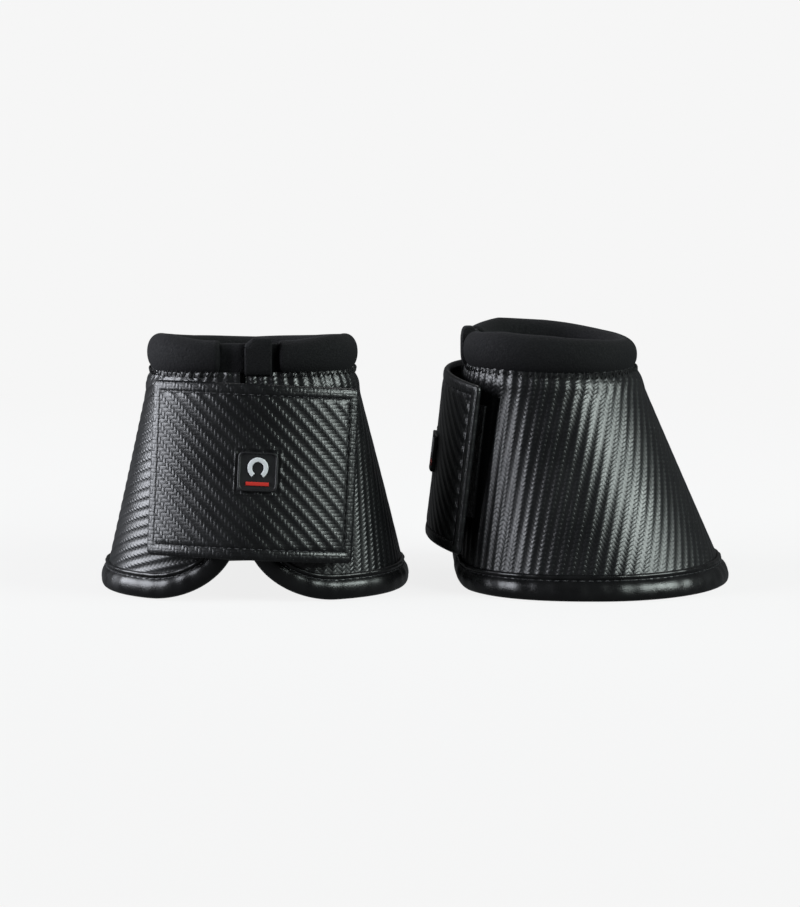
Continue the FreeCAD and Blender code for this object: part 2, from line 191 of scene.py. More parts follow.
def bell(share, height, out=0.0):
    """Points on the bell's wall: share round it, height, distance outwards."""
    share, height, out = np.broadcast_arrays(share, height, out)
    bx, by, btx, bty = ring(base_table, share)
    nx, ny, ntx, nty = ring(neck_table, share)
    up = height / SHELL_HEIGHT
    tangent = np.stack([btx + (ntx - btx) * up, bty + (nty - bty) * up, np.zeros(share.shape)], -1)
    slope = np.stack([nx - bx, ny - by, np.full(share.shape, SHELL_HEIGHT)], -1)
    normal = np.cross(tangent, slope)
    normal /= np.linalg.norm(normal, axis=-1, keepdims=True)
    wall = np.stack([bx + (nx - bx) * up, by + (ny - by) * up, height.astype(float)], -1)
    return wall + normal * out[..., None]


FRONT = np.linspace(-0.24, 0.24, 961)


def share_at(x, height):
    """The share round the front of the bell whose point has this x."""
    return np.interp(x, bell(FRONT, float(height))[:, 0], FRONT)


def seam_height(share):
    """Height of the tilted collar seam."""
    return SHELL_HEIGHT - math.tan(NECK_TILT) * (ring(neck_table, share)[1] - NECK_OVAL[2])


heel = BASE_OVAL[1] + BINDING_PROUD
left_low, left_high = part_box("left_edge_binding")
right_low, right_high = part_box("right_edge_binding")
BOOTS = {
    "left": Matrix.Translation(((left_low.x + left_high.x) / 2, left_high.y - heel * MM, 0)),
    "right": Matrix.Translation((right_high.x - heel * MM, (right_low.y + right_high.y) / 2, 0))
    @ Matrix.Rotation(math.radians(-90), 4, "Z")}


def settle(piece, boot, sharp=55.0):
    """Joins doubled points, fills open ends, turns faces outwards and puts the piece on its boot."""
    piece.data.transform(BOOTS[boot])
    work = bmesh.new()
    work.from_mesh(piece.data)
    bmesh.ops.remove_doubles(work, verts=work.verts, dist=0.000002)
    bmesh.ops.holes_fill(work, edges=work.edges, sides=0)
    bmesh.ops.recalc_face_normals(work, faces=work.faces)
    work.to_mesh(piece.data)
    work.free()
    bpy.context.view_layer.objects.active = piece
    piece.select_set(True)
    bpy.ops.object.shade_smooth_by_angle(angle=math.radians(sharp))
    bpy.ops.object.select_all(action="DESELECT")
    return piece


def sewn(name, points, boot, uv=None, round_way=False, sharp=55.0):
    """A flat grid shaped to points (columns, rows, 3) in mm and closed: its last row is sewn to
    its first, its open ends are filled, and round_way sews the last column to the first."""
    def close(values):
        values = np.concatenate([values, values[:1]]) if round_way else values
        return np.concatenate([values, values[:, :1]], 1)
    points = close(points)
    columns, rows = points.shape[0] - 1, points.shape[1] - 1
    bpy.ops.mesh.primitive_grid_add(x_subdivisions=columns, y_subdivisions=rows, size=2)
    piece = bpy.context.object
    piece.name = piece.data.name = name
    flat = np.empty(len(piece.data.vertices) * 3)
    piece.data.vertices.foreach_get("co", flat)
    column = np.rint((flat[0::3] + 1) / 2 * columns).astype(int)
    row = np.rint((flat[1::3] + 1) / 2 * rows).astype(int)
    piece.data.vertices.foreach_set("co", (points[column, row] * MM).ravel())
    if uv is not None:
        corners = np.empty(len(piece.data.loops), dtype=np.int32)
        piece.data.loops.foreach_get("vertex_index", corners)
        places = close(uv)[column, row][corners].astype(np.float32)
        piece.data.uv_layers[0].data.foreach_set("uv", places.ravel())
    piece.select_set(False)
    return settle(piece, boot, sharp)


def dress(piece, material, slot, body, *nodes):
    """Gives a finished piece its material and body, and hides the CAD nodes it stands for; slot is not
    used.
    """
    piece.data.materials.clear()
    piece.data.materials.append(material)
    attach(piece, body)
    if nodes:
        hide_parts(*nodes)


# ---------------------------------------- outer shell
# One cut of polyurethane film on foam, heat embossed with a 2/2 twill, wrapped into the bell and
# left open at the front.  Upright and level floats lie side by side in stepped diagonal ribs,
# and the ribs run straight across the flat cut, so they turn from upright to level round it.

TOW = 1.92                                      # one cell of the twill, mm
EMBOSS_DEEP = 0.13
WEFT_HEIGHT = 0.48                              # the level floats lie lower than the upright ones
RIB_DEEP = 0.16                                 # the ribs they make together
SLANT = 128.0                                   # mean length of the wall from ground to neck
FAN = (BASE_ROUND - NECK_ROUND) / SLANT         # angle of the flat cut, radians
FLAT_NECK = NECK_ROUND / FAN                    # radius of the flat cut's neck edge
RIB_TURN = math.radians(45.0)                   # the twill lies across the cut's middle line


def flat_cut(share, height):
    """Where a point of the wall lies on the flat cut, along and across the tows, in mm."""
    spread = share * FAN
    radius = FLAT_NECK + (1 - height / SHELL_HEIGHT) * SLANT
    x, y = radius * np.sin(spread), -radius * np.cos(spread)
    return np.stack([x * math.cos(RIB_TURN) - y * math.sin(RIB_TURN),
                     x * math.sin(RIB_TURN) + y * math.cos(RIB_TURN)], -1)


def rib_height(uv):
    """The ribs of the emboss, from -1 to 1; single floats are in the material."""
    return np.cos(2 * np.pi * ((uv[..., 0] + uv[..., 1]) / TOW - 1.5) / 4)


def floats(tree, across, along, start):
    """Height of the floats of one yarn system: 2 cells long, 1 wide, shifted a cell each row."""
    row = add(tree, MATH, across, operation="FLOOR")
    step = add(tree, MATH, along, row, operation="ADD")
    step = add(tree, MATH, step, 4.0 - start, operation="ADD")
    step = add(tree, MATH, step, 4.0, operation="FLOORED_MODULO")
    arch = add(tree, MATH, step, 2.0, operation="MINIMUM")
    arch = add(tree, MATH, arch, math.pi / 2, operation="MULTIPLY")
    arch = add(tree, MATH, arch, operation="SINE")
    arch = add(tree, MATH, arch, 0.0, operation="MAXIMUM")
    arch = add(tree, MATH, arch, 0.45, operation="POWER")
    side = add(tree, MATH, across, operation="FRACT")
    side = add(tree, MATH, side, 2.0, -1.0, operation="MULTIPLY_ADD")
    crown = add(tree, MATH, side, operation="ABSOLUTE")
    crown = add(tree, MATH, crown, 2.4, operation="POWER")
    crown = add(tree, MATH, 1.0, crown, operation="SUBTRACT")
    return add(tree, MATH, arch, crown, operation="MULTIPLY")


def embossed_pu(name, film_hex, roughness):
    """PU film: satin, embossed with a 2/2 twill and a fine film grain; its colour is painted darker down
    into the emboss's hollows and on the lower level floats, as painted shade.
    """
    material = blank_material(name)
    tree = material.node_tree
    axes = add(tree, "ShaderNodeSeparateXYZ", add(tree, "ShaderNodeUVMap", uv_map="UVMap"))
    across = add(tree, MATH, axes.outputs[0], 1 / TOW, operation="MULTIPLY")
    along = add(tree, MATH, axes.outputs[1], 1 / TOW, operation="MULTIPLY")
    warp = floats(tree, across, along, 0.0)
    weft = add(tree, MATH, floats(tree, along, across, 2.0), WEFT_HEIGHT, operation="MULTIPLY")
    emboss = add(tree, MATH, warp, weft, operation="MAXIMUM")
    spot = add(tree, "ShaderNodeTexCoord").outputs["Object"]
    grain = add(tree, "ShaderNodeTexNoise", spot, None, 1700.0, 3.0)       # film grain, 0.6 mm
    wear = add(tree, "ShaderNodeTexNoise", spot, None, 45.0, 4.0)          # handling marks, 20 mm
    height = add(tree, MATH, grain, 0.45, emboss, operation="MULTIPLY_ADD")
    bump = add(tree, "ShaderNodeBump", 1.0, EMBOSS_DEEP * MM, None, height)
    shine = add(tree, "ShaderNodeMapRange", wear, 0.3, 0.7, roughness - 0.04, roughness + 0.07)
    # painted shade: the colour goes from near black in the emboss's hollows and on the level floats to the
    # film's colour on the raised upright floats
    body = add(tree, "ShaderNodeMix", emboss, data_type="RGBA",
               named={6: to_linear("#060607"), 7: to_linear(film_hex)})
    shader = add(tree, "ShaderNodeBsdfPrincipled", named={
        "Base Color": body.outputs[2], "Roughness": shine, "Normal": bump,
        "IOR": 1.5, "Specular IOR Level": 0.62})
    add(tree, "ShaderNodeOutputMaterial", shader)
    return material


twill_pu = embossed_pu("twill_embossed_pu", "#131416", 0.33)
SHELL_COLUMNS, SHELL_ROWS = ((600, 146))
split_right = float(share_at(SPLIT_X + SPLIT_HALF, SPLIT_LEVEL))
split_left = float(share_at(SPLIT_X - SPLIT_HALF, SPLIT_LEVEL))


def lower_edge(share, inset):
    """Height of the wall's lower edge, drawn in by an inset: level, then up the notch."""
    height = np.full(share.shape, float(inset))
    for _ in range(12):
        point = bell(share, height)
        aside = np.abs(point[:, 0] - SPLIT_X)
        part = np.clip((NOTCH_HALF - aside) / (NOTCH_HALF - SPLIT_HALF - inset), 0, 1)
        lobe = NOTCH_RISE - (NOTCH_RISE - inset) * np.sqrt(1 - part ** 2)
        height = np.where((point[:, 1] < 0) & (aside < NOTCH_HALF), lobe, inset)
    return height


def wall_strip(columns, rows, inset, above, out, back, relief=None):
    """Points of a wall that goes round the bell from the split to the split: the face that shows
    in many rows, the other face in few, and the flat cut under them."""
    shares = split_right + np.linspace(0, 1, columns + 1) * (1 - (split_right - split_left))
    low, high = lower_edge(shares, inset), seam_height(shares) + above
    face = np.linspace(0, 1, rows + 1)
    up = np.concatenate([face, [1.0, 0.5, 0.0]])[None, :]
    heights = low[:, None] + (high - low)[:, None] * up
    shares = np.broadcast_to(shares[:, None], heights.shape)
    cut = flat_cut(shares, heights)
    shape = relief(shares, heights, cut) if relief else 0.0
    depth = np.where(np.arange(rows + 4) <= rows, out + shape, back)
    return bell(shares, heights, depth), cut


def shell_relief(share, height, cut):
    """Ribs, the pull of the whip stitches under the collar, and the wall's slow waves."""
    to_seam = np.maximum(seam_height(share) - height, 0.0)
    pucker = 0.35 * np.sin(share * NECK_ROUND * 2 * np.pi / 5.4) * np.exp(-to_seam / 4.0)
    swell = 0.9 * np.exp(-((to_seam - 7.0) / 4.5) ** 2) - 1.0 * np.exp(-to_seam / 2.2)
    waves = 0.7 * np.sin(share * 23.0 + 0.8) * np.sin(height / 34.0 + 0.5)
    return RIB_DEEP * rib_height(cut) + pucker + swell + waves


for side in BOOTS:
    points, cut = wall_strip(SHELL_COLUMNS, SHELL_ROWS, WALL_INSET, 0.8, 0.0, -SHELL_THICK, shell_relief)
    shell = sewn(f"{side}_shell_of_twill_pu", points, side, cut)
    dress(shell, twill_pu, "carbon_pu", f"{side}_boot", f"{side}_outer_shell")

# ---------------------------------------- lining
# Knitted nylon on 3.5 mm neoprene, glued and stitched inside the shell; it shows in the bell's
# mouth and down the neck, and is matt and slightly ribbed.


def knit(name, thread_hex, gauge, deep, sheen):
    """Knitted nylon face: rows of small loops, matt, with a faint nap."""
    material = blank_material(name)
    tree = material.node_tree
    spot = add(tree, "ShaderNodeTexCoord").outputs["Object"]
    loops = add(tree, "ShaderNodeTexVoronoi", spot, None, 1000.0 / gauge)   # one loop each gauge mm
    fuzz = add(tree, "ShaderNodeTexNoise", spot, None, 900.0, 5.0)          # nap, 1 mm
    worn = add(tree, "ShaderNodeTexNoise", spot, None, 60.0, 3.0)           # handled patches, 17 mm
    height = add(tree, MATH, loops, -1.0, fuzz, operation="MULTIPLY_ADD")
    bump = add(tree, "ShaderNodeBump", 0.9, deep * MM, None, height)
    shade = add(tree, "ShaderNodeMix", worn, data_type="RGBA",
                named={6: to_linear("#08080a"), 7: to_linear(thread_hex)})
    dull = add(tree, "ShaderNodeMapRange", fuzz, 0.3, 0.7, 0.78, 0.95)
    shader = add(tree, "ShaderNodeBsdfPrincipled", named={
        "Base Color": shade.outputs[2], "Roughness": dull, "Normal": bump,
        "Specular IOR Level": 0.28, "Sheen Weight": sheen, "Sheen Roughness": 0.45,
        "Sheen Tint": to_linear("#8a8894")})
    add(tree, "ShaderNodeOutputMaterial", shader)
    return material


def lining_relief(share, height, cut):
    """Soft creases where the neoprene is bent round the hoof."""
    return 0.25 * np.sin(height * 0.31 + 3 * np.sin(share * 21)) * np.sin(share * 67)


lining_knit = knit("lining_nylon_knit", "#1a1a1e", 1.1, 0.25, 0.10)
for side in BOOTS:
    points, cut = wall_strip(180, 40, WALL_INSET, 0.4, -WALL_THICK, -SHELL_THICK - 0.05, lining_relief)
    lining = sewn(f"{side}_lining_of_knit", points, side, cut)
    dress(lining, lining_knit, "lining_neoprene", f"{side}_boot", f"{side}_neoprene_lining")

# ---------------------------------------- edge binding
# A strip of smooth glossy PU leathercloth, folded over foam round the raw lower edge and up both
# lobes of the notch, turned under into a small lip and lock-stitched just below that lip.


def smooth_pu(name, film_hex, roughness):
    """Smooth PU leathercloth: soft grain, glossy, with faint scuffs that break its shine."""
    material = blank_material(name)
    tree = material.node_tree
    spot = add(tree, "ShaderNodeTexCoord").outputs["Object"]
    grain = add(tree, "ShaderNodeTexNoise", spot, None, 1400.0, 4.0)       # leather grain, 0.7 mm
    waves = add(tree, "ShaderNodeTexNoise", spot, None, 110.0, 3.0)        # pulls of the strip, 9 mm
    height = add(tree, MATH, waves, 2.2, grain, operation="MULTIPLY_ADD")
    bump = add(tree, "ShaderNodeBump", 0.6, 0.16 * MM, None, height)
    shine = add(tree, "ShaderNodeMapRange", waves, 0.3, 0.7, roughness - 0.04, roughness + 0.09)
    tone = add(tree, "ShaderNodeMix", waves, data_type="RGBA",
               named={6: to_linear("#0a0a0b"), 7: to_linear(film_hex)})
    shader = add(tree, "ShaderNodeBsdfPrincipled", named={
        "Base Color": tone.outputs[2], "Roughness": shine, "Normal": bump, "IOR": 1.5})
    add(tree, "ShaderNodeOutputMaterial", shader)
    return material


def edge_route(spacing):
    """The wall's lower edge from one side of the split round the heel to the other: lengths round
    the base, heights, and the directions along the wall that lead away from the edge."""
    turn = np.linspace(0, np.pi / 2, 60)
    lobe_x = NOTCH_HALF - (NOTCH_HALF - SPLIT_HALF) * np.sin(turn)
    lobe_z = NOTCH_RISE - NOTCH_RISE * np.cos(turn)
    above = [NOTCH_RISE + 5.0]
    right_x = SPLIT_X + np.concatenate(([SPLIT_HALF], lobe_x[::-1]))
    left_x = SPLIT_X - np.concatenate((lobe_x, [SPLIT_HALF]))
    right_z, left_z = np.concatenate((above, lobe_z[::-1])), np.concatenate((lobe_z, above))
    right = np.array([share_at(x, z) for x, z in zip(right_x, right_z)])
    left = np.array([share_at(x, z) for x, z in zip(left_x, left_z)]) + 1.0
    middle = np.linspace(right[-1], left[0], 200)[1:-1]
    along = np.concatenate((right, middle, left)) * BASE_ROUND
    heights = np.concatenate((right_z, np.zeros(middle.shape), left_z))
    arc = np.concatenate(([0.0], np.cumsum(np.hypot(np.diff(along), np.diff(heights)))))
    stops = np.linspace(0, arc[-1], int(arc[-1] / spacing) + 1)
    along, heights = np.interp(stops, arc, along), np.interp(stops, arc, heights)
    run, rise = np.gradient(along), np.gradient(heights)
    inward = np.stack([-rise, run], -1) / np.hypot(run, rise)[:, None]
    for axis in range(2):
        inward[:, axis] = np.convolve(np.pad(inward[:, axis], 2, mode="edge"), np.ones(5) / 5, "valid")
    return along, heights, inward / np.linalg.norm(inward, axis=1, keepdims=True)


def edge_points(route, across, out):
    """Points at a distance in from the lower edge and a distance out from the wall."""
    along, heights, inward = route
    height = heights + inward[:, 1] * across
    point = bell((along + inward[:, 0] * across) / BASE_ROUND, np.maximum(height, 0.0), out)
    point[..., 2] = np.maximum(point[..., 2], 0.05)     # it stands on the ground
    return point


binding_pu = smooth_pu("binding_pu_leathercloth", "#141415", 0.27)
# across from the edge and out from the wall: foot, full face, stitch groove, lip, lining side
BINDING_PROFILE = [(0.0, -2.2), (0.15, -0.9), (0.7, 0.4), (1.8, 1.2), (3.4, 1.9), (5.4, 2.2),
                   (7.4, 2.2), (9.0, 1.9), (10.2, 1.3), (10.8, 0.75), (11.3, 0.7), (11.9, 1.45),
                   (12.6, 1.85), (13.5, 1.75), (14.1, 1.1), (14.2, 0.1), (13.4, -0.6),
                   (13.0, -5.6), (12.6, -6.6), (11.4, -7.0), (8.0, -7.1), (4.0, -7.1),
                   (1.6, -6.7), (0.5, -5.6), (0.05, -4.0)]
route = edge_route(1.6)
count = len(route[0])
pull = 0.14 * np.sin(np.arange(count) * 0.9) + 0.12 * np.sin(np.arange(count) * 0.37 + 1.0)
sleeve = np.stack([edge_points(route, np.full(count, across), out + (pull if out > 1.2 else 0))
                   for across, out in BINDING_PROFILE], 1)
for side in BOOTS:
    binding = sewn(f"{side}_binding_strip", sleeve, side)
    finish = binding.modifiers.new("smooth", "SUBSURF")
    finish.levels = finish.render_levels = 1
    bpy.context.view_layer.objects.active = binding
    bpy.ops.object.modifier_apply(modifier="smooth")
    dress(binding, binding_pu, "binding_pu", f"{side}_boot", f"{side}_edge_binding")

# ---------------------------------------- thread of the binding
# Bonded nylon thread, black, in lock stitches of 4.6 mm: each stitch is a small rounded bar that
# dips into the material at both ends.

EDGE_STITCH = 4.6
GROOVE_ACROSS, GROOVE_OUT = 10.9, 1.05   # where the binding's stitch groove lies on its profile
STITCH_RINGS = [(-0.5, 0.2), (-0.43, 0.75), (-0.25, 1.0), (0.25, 1.0), (0.43, 0.75), (0.5, 0.2)]
STITCH_SIDES = 6


def thread_finish(name, thread_hex, roughness=0.5):
    """Twisted nylon thread: satin, with the twist showing as fine slanted lines in its bump and as painted
    shade, darker in the twist's grooves.
    """
    material = blank_material(name)
    tree = material.node_tree
    spot = add(tree, "ShaderNodeTexCoord").outputs["Object"]
    twist = add(tree, "ShaderNodeTexWave", spot, 1800.0, 1.5).outputs[1]   # twist, 0.6 mm
    # painted shade: the colour darkens in the twist's grooves, following the bump
    tint = add(tree, "ShaderNodeMix", twist, data_type="RGBA",
               named={6: to_linear("#0c0c0d"), 7: to_linear(thread_hex)})
    bump = add(tree, "ShaderNodeBump", 0.6, 0.08 * MM, None, twist)
    shader = add(tree, "ShaderNodeBsdfPrincipled", named={
        "Base Color": tint.outputs[2], "Roughness": roughness, "Normal": bump})
    add(tree, "ShaderNodeOutputMaterial", shader)
    return material


def stitches(name, starts, ends, outward, radius, dip, boot):
    """One thread's visible stitches, each a bar that dips at both ends, modelled as one mesh."""
    starts, ends, outward = (np.asarray(item, float) for item in (starts, ends, outward))
    ahead = ends - starts
    ahead /= np.linalg.norm(ahead, axis=1, keepdims=True)
    outward = outward - ahead * (outward * ahead).sum(1, keepdims=True)
    outward /= np.linalg.norm(outward, axis=1, keepdims=True)
    sideways = np.cross(ahead, outward)
    points = []
    for share, swell in STITCH_RINGS:
        centre = (starts + ends) / 2 + (ends - starts) * share - outward * dip * (2 * share) ** 2
        for corner in range(STITCH_SIDES):
            turn = 2 * math.pi * corner / STITCH_SIDES
            points.append(centre + radius * swell * (outward * math.cos(turn) + sideways * math.sin(turn)))
    points = np.stack(points, 1)
    faces, rings = [], len(STITCH_RINGS)
    for stitch in range(len(starts)):
        first = stitch * rings * STITCH_SIDES
        for step in range(rings - 1):
            for corner in range(STITCH_SIDES):
                a, b = first + step * STITCH_SIDES, (corner + 1) % STITCH_SIDES
                faces.append((a + corner, a + b, a + b + STITCH_SIDES, a + corner + STITCH_SIDES))
    data = bpy.data.meshes.new(name)
    data.from_pydata((points.reshape(-1, 3) * MM).tolist(), [], faces)
    piece = bpy.data.objects.new(name, data)
    bpy.context.collection.objects.link(piece)
    return settle(piece, boot, 80.0)


def between(points, gap):
    """Starts and ends of stitches along a row of points, with a gap of this share between them."""
    return (points[:-1] * (1 - gap) + points[1:] * gap, points[:-1] * gap + points[1:] * (1 - gap))


black_thread = thread_finish("black_nylon_thread", "#2a2a2e")
line = edge_route(EDGE_STITCH)
count = len(line[0])
groove = edge_points(line, np.full(count, GROOVE_ACROSS), GROOVE_OUT)
above_groove = edge_points(line, np.full(count, GROOVE_ACROSS), GROOVE_OUT + 1.0)
starts, ends = between(groove, 0.16)
for side in BOOTS:
    row = stitches(f"{side}_binding_stitching", starts, ends, (above_groove - groove)[:-1], 0.45, 0.6, side)
    dress(row, black_thread, "binding_pu", f"{side}_boot")

# ---------------------------------------- rolled collar
# Knitted nylon neoprene rolled over foam and sewn to the shell's top edge, open in front: a
# thick soft ring, tallest in front and low at the heel, with its cut ends tucked in.

COLLAR_THICK = 14.6
COLLAR_IN = 5.2                     # the roll's middle lies this far inside the seam
COLLAR_HEIGHTS = [(0.0, 17.8), (0.08, 18.2), (0.16, 20.7), (0.25, 19.6), (0.38, 16.6), (0.5, 15.2)]
COLLAR_LEFT_END, COLLAR_RIGHT_END = -15.7, 15.4
TAB_LEFT, TAB_RIGHT = -2.5, 11.8
COLLAR_DROP = {"left": 0.4, "right": 2.1}   # the right boot's roll has slipped down over its seam
SECTION_POINTS = 44
COLLAR_RINGS, TONGUE_RINGS, TAB_RINGS = 380, 40, 34
WHIP_PITCH, WHIP_LEAN = 2.9, 1.4


def neck_share(x):
    """The share round the front of the neck that has this x."""
    return np.interp(x, ring(neck_table, FRONT)[0], FRONT)


def collar_height(share):
    """Height of the roll over the seam."""
    aside = np.abs((np.asarray(share) + 0.5) % 1.0 - 0.5)
    places, heights = zip(*COLLAR_HEIGHTS)
    return np.interp(aside, places, heights)


def collar_ring(share, swell, across, tall, inward, squareness, drop=0.0):
    """Rings of a rounded upright section along the neck, with the section's middle inward."""
    turn = np.linspace(0, 2 * np.pi, SECTION_POINTS, endpoint=False)
    power = 2 / squareness
    wide = np.sign(np.cos(turn)) * np.abs(np.cos(turn)) ** power * across / 2
    high = np.sign(np.sin(turn)) * np.abs(np.sin(turn)) ** power / 2
    x, y, tx, ty = ring(neck_table, share)
    outward = np.stack([ty, -tx], -1)
    middle = np.stack([x, y], -1) - outward * inward
    flat = middle[:, None, :] + outward[:, None, :] * (wide[None, :] * swell[:, None])[..., None]
    level = seam_height(share) - 0.6 - drop
    level = level[:, None] + (tall + drop)[:, None] * (0.5 + high[None, :] * swell[:, None])
    return np.concatenate([flat, level[..., None]], -1)


def rounded_ends(count, length, end, least=0.3):
    """Scale along a tube so that it closes softly at both ends."""
    place = np.linspace(0, length, count)
    inset = np.minimum(np.minimum(place, length - place) / end, 1.0)
    return np.maximum((1 - (1 - inset) ** 3) ** (1 / 3), least)


seam_thread = thread_finish("collar_seam_thread", "#08080a", 0.8)
collar_knit = knit("collar_nylon_knit", "#0a0a0d", 0.8, 0.22, 0.03)
collar_first, collar_last = float(neck_share(COLLAR_RIGHT_END)), 1 + float(neck_share(COLLAR_LEFT_END))
collar_long = (collar_last - collar_first) * NECK_ROUND
shares = np.linspace(collar_first, collar_last, COLLAR_RINGS)
swell = rounded_ends(COLLAR_RINGS, collar_long, 3.0, 0.45)
along = shares * NECK_ROUND
turn = np.linspace(0, 2 * np.pi, SECTION_POINTS, endpoint=False)
creases = (0.30 * np.sin(along[:, None] / 19.0 + 1.3 * np.sin(turn)[None, :])
           + 0.16 * np.sin(along[:, None] / 6.3 + 2.1 + 2.0 * np.cos(turn)[None, :]))
core_swell = rounded_ends(COLLAR_RINGS, collar_long, 6.0, 0.4)
gap = np.linspace(COLLAR_LEFT_END - 2.5, COLLAR_RIGHT_END + 2.5, TONGUE_RINGS)
band = np.linspace(TAB_LEFT, TAB_RIGHT, TAB_RINGS)
band_swell = rounded_ends(TAB_RINGS, TAB_RIGHT - TAB_LEFT, 1.6, 0.45)
whip_at = np.arange(collar_first + 0.006, collar_last - 0.006, WHIP_PITCH / NECK_ROUND)
lean = whip_at + WHIP_LEAN / NECK_ROUND
whip_out = bell(whip_at, seam_height(whip_at), 1.0) - bell(whip_at, seam_height(whip_at))

for side, drop in COLLAR_DROP.items():
    boot = f"{side}_boot"
    rings = collar_ring(shares, swell, COLLAR_THICK, collar_height(shares), COLLAR_IN, 2.15, drop)
    middle = rings.mean(1, keepdims=True)
    rings = middle + (rings - middle) * (1 + 0.045 * creases[..., None])
    collar = sewn(f"{side}_collar_roll", rings, side)
    dress(collar, collar_knit, "collar_neoprene", boot, f"{side}_collar_cover")

    core = collar_ring(np.linspace(collar_first + 0.012, collar_last - 0.012, COLLAR_RINGS), core_swell,
                       COLLAR_THICK - 5.0, collar_height(shares) - 5.0, COLLAR_IN, 2.2)
    core[..., 2] += 2.5
    foam = sewn(f"{side}_collar_foam", core, side)
    dress(foam, collar_knit, "foam", boot, f"{side}_collar_foam_roll")

    lower = collar_ring(neck_share(gap), np.ones(TONGUE_RINGS), 6.4, np.full(TONGUE_RINGS, 16.6),
                        5.4, 3.6, drop)
    lower[..., 1] += (0.45 * np.sin(gap * 0.55 + 1.0))[:, None]
    tongue = sewn(f"{side}_collar_tongue_pad", lower, side)
    dress(tongue, collar_knit, "collar_neoprene", boot, f"{side}_collar_tongue")

    raised = collar_ring(neck_share(band), np.ones(TAB_RINGS), 8.6, np.full(TAB_RINGS, 19.9),
                         2.0, 3.6, drop)
    middle = raised.mean(1, keepdims=True)
    closing = (1 - band_swell[:, None, None]) * np.array([0.1, 0.45, 0.12])
    raised = middle + (raised - middle) * (1 - closing)
    # its top left corner is folded away
    fold = np.clip((TAB_LEFT + 4.6 - band) / 4.6, 0, 1)[:, None] * (raised[..., 2] > middle[..., 2] + 6.0)
    raised[..., 2] -= 3.6 * fold
    tab = sewn(f"{side}_collar_tab_band", raised, side)
    dress(tab, collar_knit, "collar_neoprene", boot, f"{side}_collar_tab")

    whip_low = bell(whip_at, seam_height(whip_at) - 2.0 - drop, 0.1)
    whip_high = bell(lean, seam_height(lean) + 1.5 - drop, 1.7)
    whip = stitches(f"{side}_collar_whip_stitching", whip_low, whip_high, whip_out, 0.36, 0.5, side)
    dress(whip, seam_thread, "collar_neoprene", boot)

# ---------------------------------------- outer flap
# The big closing flap: embossed PU over thin foam, fabric backed, its edges turned under 6 mm
# and stitched; it is sewn to the shell along its left edge and stands a little proud.

FLAP_RADIUS = 96.0
FLAP_LOW, FLAP_HIGH = 25.3, 118.7
FLAP_SKIN, FLAP_FOAM, FLAP_BACK = 1.2, 1.4, 0.8
FLAP_THICK = FLAP_SKIN + FLAP_FOAM + FLAP_BACK
HEM_WIDE = 6.0
FLAP_RIB_DEEP = 0.13
FLAP_STITCH = 4.0
FLAP_HALF_WIDTH = 55.3
FLAP_FOOT = (-1.5, -95.2, 0.0)
FLAP_ROLL, FLAP_LEAN = math.radians(2.6), math.radians(-6.5)
FLAP_ARC = FLAP_RADIUS * math.asin(FLAP_HALF_WIDTH / FLAP_RADIUS)
FLAP_MIDDLE, FLAP_TALL = (FLAP_LOW + FLAP_HIGH) / 2, (FLAP_HIGH - FLAP_LOW) / 2
FLAP_FRAME = (Matrix.Translation(FLAP_FOOT) @ Matrix.Rotation(FLAP_ROLL, 4, "Y")
              @ Matrix.Rotation(FLAP_LEAN, 4, "X"))


def flap(arc, height, depth):
    """Points of the flap: arc across it, height up it, depth behind its face."""
    arc, height, depth = np.broadcast_arrays(arc, height, depth)
    radius = FLAP_RADIUS - depth
    local = np.stack([radius * np.sin(arc / FLAP_RADIUS), FLAP_RADIUS - radius * np.cos(arc / FLAP_RADIUS),
                      height.astype(float)], -1)
    return local @ np.array(FLAP_FRAME.to_3x3()).T + np.array(FLAP_FRAME.translation)


def flap_lie(arc, height):
    """How the soft flap lies: slightly hollow and wavy between its stitched edges."""
    return 0.35 * np.cos(arc / 23.0 + 0.6) * np.sin((height - FLAP_LOW) / 28.0)


def to_hem(arc, height):
    """Distance from the hem's stitch line; the left edge has none."""
    return np.minimum(FLAP_ARC - HEM_WIDE - arc, FLAP_TALL - HEM_WIDE - np.abs(height - FLAP_MIDDLE))


BADGE_ARC, BADGE_HEIGHT, BADGE_SIDE = 3.1, 72.3, 21.0
flap_columns, flap_rows = ((240, 180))
inner_arc, inner_tall = FLAP_ARC - HEM_WIDE + 0.5, FLAP_TALL - HEM_WIDE + 0.5
arc = np.linspace(-inner_arc, inner_arc, flap_columns + 1)[:, None]
up = np.concatenate([np.linspace(-1, 1, flap_rows + 1), [1.0, 0.0, -1.0]])[None, :]
arc, level = np.broadcast_arrays(arc, FLAP_MIDDLE + inner_tall * up)
face = np.arange(flap_rows + 4) <= flap_rows
groove = 0.75 * np.exp(-np.maximum(to_hem(arc, level), 0) / 1.0)
from_badge = np.maximum(np.abs(arc - BADGE_ARC), np.abs(level - BADGE_HEIGHT)) - BADGE_SIDE / 2
weld = 0.30 * np.exp(-((from_badge - 1.6) / 0.6) ** 2)
cut = np.stack([arc, level], -1)
depth = np.where(face, groove - weld - FLAP_RIB_DEEP * rib_height(cut) + flap_lie(arc, level), 1.5)
flap_points = flap(arc, level, depth)

# the hem: rings round the flap's outline, each one its section from the stitch line over the edge
HEM_SECTION = [(6.3, 0.9), (5.9, 0.35), (5.2, 0.05), (4.0, -0.1), (2.4, -0.05), (1.1, 0.2), (0.35, 0.75),
               (0.0, 1.6), (0.25, 2.6), (1.0, 3.3), (2.6, 3.55), (4.6, 3.5), (6.1, 3.3), (6.4, 2.4)]


